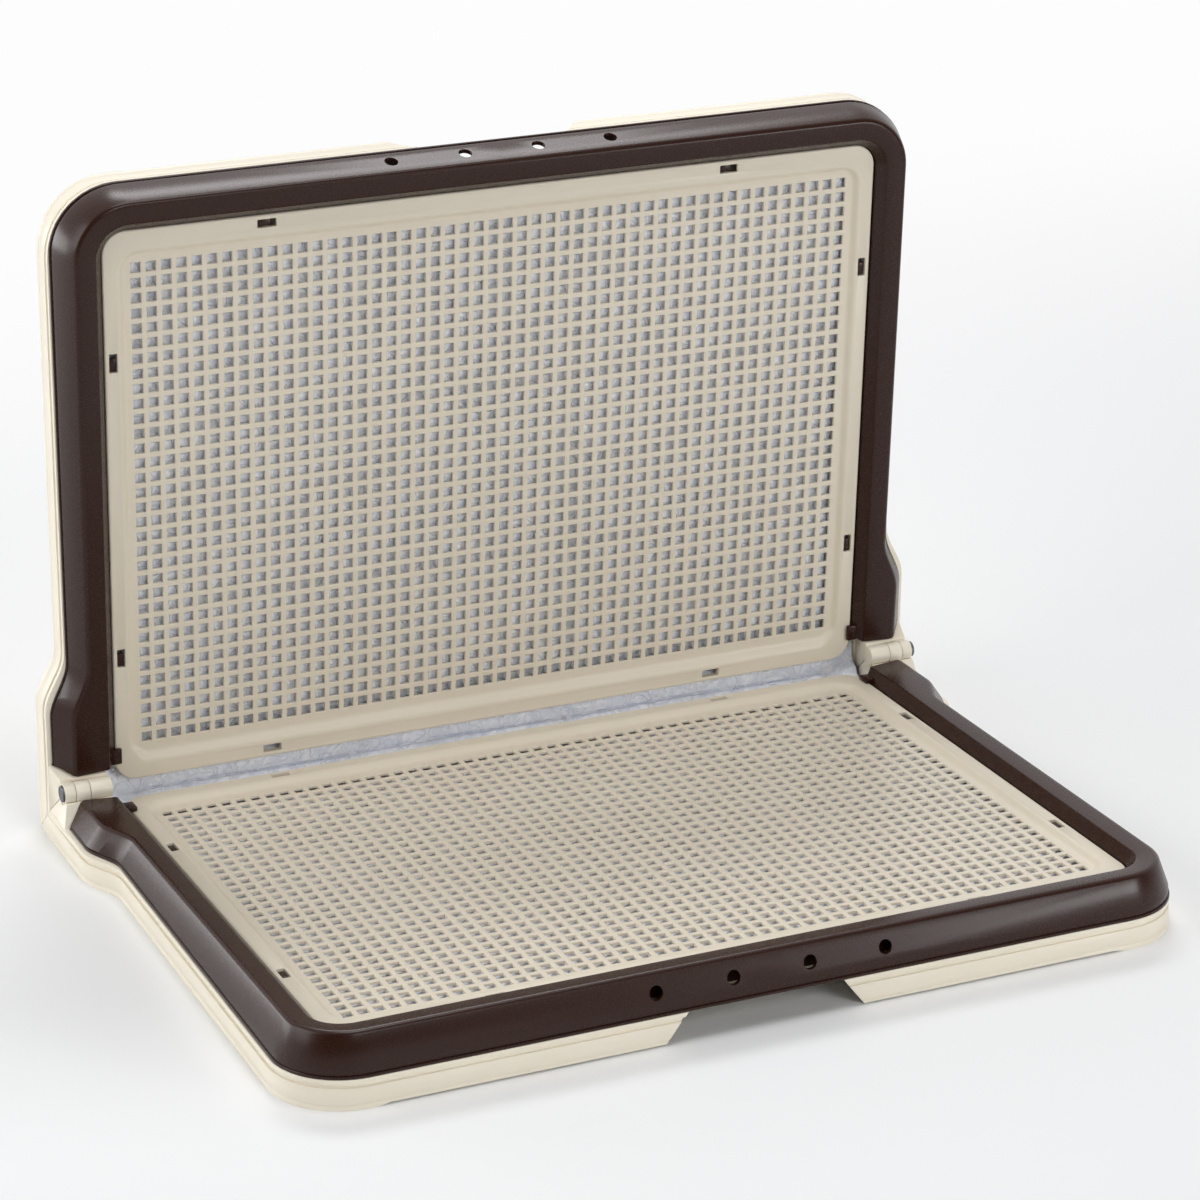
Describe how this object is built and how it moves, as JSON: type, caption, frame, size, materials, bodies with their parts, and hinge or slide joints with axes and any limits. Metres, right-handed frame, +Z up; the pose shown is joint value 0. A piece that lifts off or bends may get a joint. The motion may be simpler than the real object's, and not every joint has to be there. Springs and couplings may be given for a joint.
{
  "type": "dog potty pad tray",
  "caption": "Folding potty pad tray for dogs: cream hinged bases, lift-off square-hole grilles and brown clip-on frames over an absorbent pad",
  "frame": {"origin": "centre of the open tray's box, on the floor", "axes": "+X to the right along the hinge, +Y back to the upright half, +Z up"},
  "size_m": [0.4986, 0.3474, 0.3475],
  "materials": {
    "cream_plastic": "moulded polypropylene, satin",
    "brown_plastic": "moulded polypropylene, semi-gloss",
    "grille_plastic": "moulded polypropylene, satin",
    "pad_fabric": "non-woven sheet over absorbent fluff",
    "pin_metal": "dark steel, dull"
  },
  "bodies": {
    "lower_tray": {"lower_base": "cream_plastic", "lower_pad": "pad_fabric", "pad_bend": "pad_fabric", "left_hinge_pin": "pin_metal", "right_hinge_pin": "pin_metal"},
    "upper_tray": {"upper_base": "cream_plastic", "upper_pad": "pad_fabric"},
    "lower_cover": {"lower_frame": "brown_plastic", "lower_grille": "grille_plastic"},
    "upper_cover": {"upper_frame": "brown_plastic", "upper_grille": "grille_plastic"}
  },
  "joints": [
    {"name": "fold_hinge", "type": "hinge", "parent": "lower_tray", "child": "upper_tray", "pos_m": [0, 0.14305, 0.0307], "axis": [1, 0, 0], "range_deg": [0, 86.5], "deforming": ["pad_bend"]},
    {"name": "lower_lift", "type": "slide", "parent": "lower_tray", "child": "lower_cover", "axis": [0, -0.7071, 0.7071], "range_m": [0, 0.1]},
    {"name": "upper_lift", "type": "slide", "parent": "upper_tray", "child": "upper_cover", "axis": [0, -0.7071, 0.7071], "range_m": [0, 0.1]}
  ]
}
